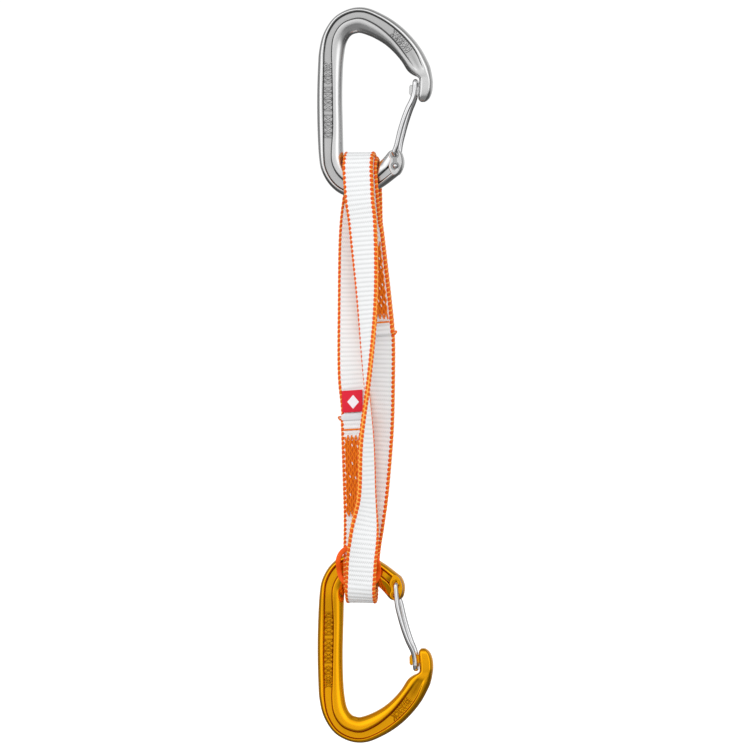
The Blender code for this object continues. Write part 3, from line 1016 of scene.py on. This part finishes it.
def add_shadow_sheet(bm, start, run, out):
    """A dark sheet under the stitches: painted shadow that shows between them."""
    corners = []
    for share, reach in ((0.03, 1), (0.97, 1), (0.97, -1), (0.03, -1)):
        place = start + run * share
        corners.append((place.x + reach * (TACK_HALF_WIDTH - 0.5), place.z))
    loft(bm, [[(x, start.y - out * depth, z) for x, z in corners] for depth in (0.3, 0.06)])


def stitched_patch(name, body, top, bottom, face_y, material, node, white):
    """Columns of zigzag stitches between two places on a splice's face, with flecks of white webbing and a
    sheet of painted shadow under them.
    """
    bm = bmesh.new()
    start = Vector((top[0], face_y, top[1]))
    finish = Vector((bottom[0], face_y, bottom[1]))
    run = finish - start
    out = 1 if face_y > 0 else -1
    for column in range(STITCH_COLUMNS):
        add_zigzag(bm, start, run, out, column)
    stitches = set(bm.faces)
    for number in range(white):
        add_fleck(bm, start, run, out, number)
    flecks = set(bm.faces) - stitches
    # The dark sheet under the stitches is painted shadow
    add_shadow_sheet(bm, start, run, out)
    for one in bm.faces:
        one.material_index = 0 if one in stitches else 2 if one in flecks else 1
    patch = link(name, bm, material)
    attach(patch, body)
    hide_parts(node)
    return patch


def end_stitch(name, body, left, right, material, node):
    """One row of short stitches across the webbing."""
    bm = bmesh.new()
    start = Vector((left[0], ROW_Y, left[1]))
    finish = Vector((right[0], ROW_Y, right[1]))
    gap = 0.06
    for k in range(ROW_STITCHES):
        a = start + (finish - start) * ((k + gap) / ROW_STITCHES)
        b = start + (finish - start) * ((k + 1 - gap) / ROW_STITCHES)
        middle = (a + b) / 2 + Vector((0, -0.2, 0))
        tube(bm, catmull_rom([a, middle, b], 4), THREAD_RADIUS, 8)
    row = link(name, bm, material)
    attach(row, body)
    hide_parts(node)
    return row


def make_label(red, white):
    """A woven tag with a plain rhombus on it."""
    bm = bmesh.new()
    rings = []
    top_x, top_z = LABEL_TOP
    rows = 12
    columns = 8
    drift = 0.35
    curl = 0.35
    tilt = 0.35
    for k in range(rows + 1):
        share = k / rows
        z = top_z - LABEL_HEIGHT * share
        x = top_x + drift * share
        y = LABEL_Y - LABEL_BULGE * math.sin(math.pi * share)
        ring = []
        for side in (-1, 1):
            for column in range(columns + 1):
                a = side * (-1 + 2 * column / columns)
                ring.append((x + a * LABEL_HALF_WIDTH, y - side * LABEL_HALF + curl * a * a, z + tilt * a))
        rings.append(ring)
    loft(bm, rings)
    tag = link("label_tag", bm, red)
    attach(tag, "sling_lower")
    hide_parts("label")
    bm = bmesh.new()
    wide, high = RHOMBUS_SIZE
    centre_x, centre_z = RHOMBUS_CENTRE
    outline = [(0, high), (wide, 0), (0, -high), (-wide, 0)]
    loft(bm, [[(centre_x + x, y, centre_z + z) for x, z in outline] for y in (-1.28, -0.9)])
    mark = link("label_rhombus", bm, white)
    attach(mark, "sling_lower")


def make_folded_end(material):
    """The smooth end of the flap, folded under below the tag."""
    bm = bmesh.new()
    rings = []
    centre_y, centre_z = FOLD_CENTRE
    half_y, half_z = FOLD_HALF
    columns = 14
    corners = 16
    for k in range(columns + 1):
        x = FOLD_START + FOLD_WIDTH * k / columns
        middle = centre_z + 0.06 * x
        end = 1.0 if 0 < k < columns else 0.6
        ring = []
        for corner in range(corners):
            turn = 2 * math.pi * corner / corners
            high = half_z * end * squared(math.sin(turn), 0.6)
            ring.append((x, centre_y - half_y * end * math.cos(turn), middle + high))
        rings.append(ring)
    loft(bm, rings)
    fold = link("folded_end", bm, material, 60)
    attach(fold, "sling_lower")
    return fold


def make_knot(name, body, x, y, z, material):
    """A loop of thread left at the edge."""
    bm = bmesh.new()
    points = []
    steps = 16
    overlap = 3
    for step in range(steps + overlap):
        turn = 2 * math.pi * step / steps
        reach = 0.75 + 0.15 * math.sin(3 * turn)
        right = reach * math.cos(turn)
        rise = reach * math.sin(turn)
        points.append(Vector((x + right, y + 0.3 * math.sin(2 * turn), z + rise)))
    tube(bm, points, THREAD_RADIUS, 8)
    knot = link(name, bm, material)
    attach(knot, body)
    return knot


def ring_depth(sine):
    """The ring's Y for the sine of an angle round it: forward at the top, back at the foot."""
    if sine > -0.35:
        share = min(max((0.35 - sine) / 0.7, 0.0), 1.0)
        share = share * share * (3 - 2 * share)
        return RING_FRONT_Y + (RING_BACK_Y - RING_FRONT_Y) * share
    share = min(max((-RING_FOOT_START - sine) / (1 - RING_FOOT_START), 0.0), 1.0)
    return RING_BACK_Y + (RING_FOOT_Y - RING_BACK_Y) * share


def make_ring(material):
    """The rubber band round the strap's lower eye."""
    bm = bmesh.new()
    rings = []
    corners = 16
    for step in range(RING_STEPS):
        angle = 2 * math.pi * step / RING_STEPS
        out = Vector((squared(math.cos(angle), RING_FULLNESS), 0, squared(math.sin(angle), RING_FULLNESS)))
        x = RING_CENTRE[0] + RING_SIZE[0] * out.x
        z = RING_CENTRE[1] + RING_SIZE[1] * out.z
        centre = Vector((x, ring_depth(out.z), z))
        ring = []
        for corner in range(corners):
            turn = 2 * math.pi * corner / corners
            wide = RING_HALF_WIDTH * squared(math.cos(turn), 0.7)
            deep = RING_HALF * squared(math.sin(turn), 0.7)
            ring.append(centre + out.normalized() * wide + Vector((0, deep, 0)))
        rings.append(ring)
    loft(bm, rings, closed=True)
    keeper = link("keeper_band", bm, material, 60)
    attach(keeper, "sling_lower")
    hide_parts("keeper_ring")
    return keeper


# Stage


def make_stage():
    """A white floor that metal and cloth don't see."""
    bpy.ops.mesh.primitive_plane_add(size=FLOOR_SIZE, location=(0, 0, FLOOR_Z))
    floor = bpy.context.object
    floor.name = "floor"
    material, shader = shader_material("floor_white", (0.95, 0.95, 0.95), 0.9)
    shader.inputs["Specular IOR Level"].default_value = 0.0
    shader.inputs["Emission Color"].default_value = (1.0, 1.0, 1.0, 1.0)
    shader.inputs["Emission Strength"].default_value = 0.4
    floor.data.materials.append(material)
    floor.visible_glossy = False
    floor.visible_diffuse = False


# What metal reflects, along each axis from -1 to +1 as 0 to 1: Y from front to back, Z from floor to ceiling
STUDIO = {
    "Y": [
        (0.0, 0.50),
        (0.03, 0.58),
        (0.07, 0.92),
        (0.22, 1.0),
        (0.28, 0.50),
        (0.46, 0.38),
        (0.6, 0.24),
        (1.0, 0.45),
    ],
    "Z": [
        (0.0, 0.45),
        (0.10, 0.16),
        (0.36, 0.20),
        (0.46, 0.9),
        (0.5, 1.0),
        (0.75, 1.0),
        (0.9, 0.6),
        (1.0, 0.5),
    ],
    "X": [(0.0, 0.48), (0.08, 0.55), (0.2, 1.0), (0.8, 1.0), (0.95, 0.75), (1.0, 0.65)],
}

# What cloth is lit by, from floor to ceiling, and the strength of each of the three backgrounds
CEILING = [(0.0, 0.15), (0.25, 0.5), (0.48, 1.0), (0.62, 1.0), (0.85, 0.55), (1.0, 0.4)]
REFLECTED_STRENGTH = 1.5
AMBIENT_STRENGTH = 1.42
SEEN_STRENGTH = 1.05


def half_axis(nodes, links, value):
    """Takes a direction from -1 to +1 to a place from 0 to 1."""
    half = nodes.new("ShaderNodeMath")
    half.operation = "MULTIPLY_ADD"
    half.inputs[1].default_value = 0.5
    half.inputs[2].default_value = 0.5
    links.new(value, half.inputs[0])
    return half.outputs[0]


def background(nodes, strength):
    """One of the surroundings that a ray can meet."""
    node = nodes.new("ShaderNodeBackground")
    node.inputs["Strength"].default_value = strength
    return node


def mix_by(nodes, links, switch, usual, special):
    """The usual shader, or the special one for the rays that the switch picks out."""
    mix = nodes.new("ShaderNodeMixShader")
    links.new(switch, mix.inputs[0])
    links.new(usual.outputs[0], mix.inputs[1])
    links.new(special.outputs[0], mix.inputs[2])
    return mix


def make_world():
    """White to the eye and to cloth; metal sees soft panels in front and dark sides, floor and back."""
    world = bpy.data.worlds.new("studio")
    bpy.context.scene.world = world
    world.use_nodes = True
    nodes = world.node_tree.nodes
    links = world.node_tree.links
    nodes.clear()
    place = nodes.new("ShaderNodeTexCoord")
    split = nodes.new("ShaderNodeSeparateXYZ")
    links.new(place.outputs["Generated"], split.inputs[0])
    factors = []
    for axis, stops in STUDIO.items():
        factors.append(ramped(nodes, links, half_axis(nodes, links, split.outputs[axis]), stops))
    product = factors[0]
    for factor in factors[1:]:
        product = math_node(nodes, links, "MULTIPLY", product, factor)
    reflected = background(nodes, REFLECTED_STRENGTH)
    links.new(product, reflected.inputs["Color"])
    ambient = background(nodes, AMBIENT_STRENGTH)
    height = half_axis(nodes, links, split.outputs["Z"])
    links.new(ramped(nodes, links, height, CEILING), ambient.inputs["Color"])
    seen = background(nodes, SEEN_STRENGTH)
    seen.inputs["Color"].default_value = (1.0, 1.0, 1.0, 1.0)
    path = nodes.new("ShaderNodeLightPath")
    unseen = mix_by(nodes, links, path.outputs["Is Glossy Ray"], ambient, reflected)
    whole = mix_by(nodes, links, path.outputs["Is Camera Ray"], unseen, seen)
    out = nodes.new("ShaderNodeOutputWorld")
    links.new(whole.outputs[0], out.inputs["Surface"])


def add_light(name, location, size, power):
    """A square soft light, aimed at the middle of the draw, that metal doesn't reflect."""
    light = bpy.data.lights.new(name, "AREA")
    light.shape = "SQUARE"
    light.size = size
    light.energy = power
    obj = bpy.data.objects.new(name, light)
    obj.visible_glossy = False
    obj.location = location
    aim = Vector(LIGHT_TARGET) - obj.location
    obj.rotation_euler = aim.to_track_quat("-Z", "Y").to_euler()
    bpy.context.scene.collection.objects.link(obj)


def make_camera():
    """The frame is FRAME_WIDTH across at the draw, whatever the camera's distance."""
    angle = math.radians(CAMERA_AZIMUTH)
    right = Vector((math.cos(angle), math.sin(angle), 0))
    target = right * FRAME_OFFSET * MM + Vector((0, 0, FRAME_HEIGHT * MM))
    camera = bpy.data.cameras.new("camera")
    camera.sensor_width = SENSOR_WIDTH
    camera.lens = SENSOR_WIDTH * CAMERA_DISTANCE / FRAME_WIDTH
    obj = bpy.data.objects.new("camera", camera)
    obj.location = target + Vector((math.sin(angle), -math.cos(angle), 0)) * CAMERA_DISTANCE
    turn = Matrix.Rotation(angle, 3, "Z") @ Matrix.Rotation(math.pi / 2, 3, "X")
    obj.rotation_euler = (turn @ Matrix.Rotation(math.radians(CAMERA_ROLL), 3, "Z")).to_euler()
    bpy.context.scene.collection.objects.link(obj)
    bpy.context.scene.camera = obj


def make_carabiners():
    """The upper one in bare aluminium and the lower one in gold, each with its marks and gate."""
    # The last colour given to each body metal is painted shade for its creases; the gold's is redder
    aluminium = metal("aluminium", (0.82, 0.82, 0.82), 0.22, (0.16, 0.16, 0.16))
    gold = metal("gold_anodise", (1.0, 0.435, 0.001), 0.16, (0.36, 0.06, 0.0), 0.88, 0.30)
    steel = metal("wire_steel", (0.80, 0.80, 0.81), 0.16)
    # Dark metals for the outline round the foot of each mark: painted shade
    shade_aluminium = metal("aluminium_painted_shade", (0.24, 0.24, 0.24), 0.4)
    shade_gold = metal("gold_painted_shade", (0.30, 0.08, 0.0), 0.4)
    for side, lower, material, dark in (
        ("upper", False, aluminium, shade_aluminium),
        ("lower", True, gold, shade_gold),
    ):
        make_body(side, lower, material)
        make_marks(side, lower, material, dark)
        make_gate(side, lower, steel)


def make_stitching(thread):
    """Each end's bar tack on both faces, and its closing row."""
    # Painted shadow: the colour of the dark sheet under the tack's stitches
    shadow = yarn("tack_painted_shadow", (0.68, 0.125, 0.002))
    fleck = yarn("thread_fleck", (0.9, 0.86, 0.82))
    threads = [thread, shadow, fleck]
    for face, y in (("front", -TACK_Y), ("back", TACK_Y)):
        for end, top, bottom, flecks in TACKS:
            name = f"{end}_stitches_{face}"
            node = f"{end}_bar_tack_{face}"
            stitched_patch(name, f"sling_{end}", top, bottom, y, threads, node, flecks)
    for end, left, right in CLOSING_ROWS:
        end_stitch(f"{end}_closing_row", f"sling_{end}", left, right, thread, f"{end}_end_stitch")


def make_sling():
    """The strap with its edges and stitching, the folded end, the label and the ring."""
    edge = edge_material((0.78, 0.10, 0.002), (0.95, 0.44, 0.07))
    rubber, shader = shader_material("rubber_orange", (0.93, 0.115, 0.002), 0.42)
    add_grain(rubber, shader, 700.0, 0.04, 0.0002)
    frames = strap_frames()
    make_webbing(frames, webbing_material())
    make_edge("webbing_edge_a", frames, -1, edge)
    make_edge("webbing_edge_b", frames, 1, edge)
    thread = yarn("thread_orange", (0.86, 0.20, 0.003))
    make_stitching(thread)
    make_folded_end(yarn("fold_white", (0.72, 0.74, 0.76)))
    make_knot("thread_knot_upper", "sling_upper", 18.7, 0.6, -150.3, thread)
    make_knot("thread_knot_lower", "sling_lower", -8.8, -1.2, -193.4, thread)
    make_label(yarn("tag_red", (0.74, 0.015, 0.04)), yarn("tag_white", (0.92, 0.88, 0.92)))
    make_ring(rubber)


def main():
    make_camera()
    make_stage()
    make_world()
    add_light("key_left", (-0.9, -1.3, 0.5), 0.9, 3.4)
    add_light("key_right", (1.1, -1.2, 0.2), 0.8, 1.7)
    bpy.context.scene.view_settings.view_transform = "Standard"
    make_carabiners()
    make_sling()


main()
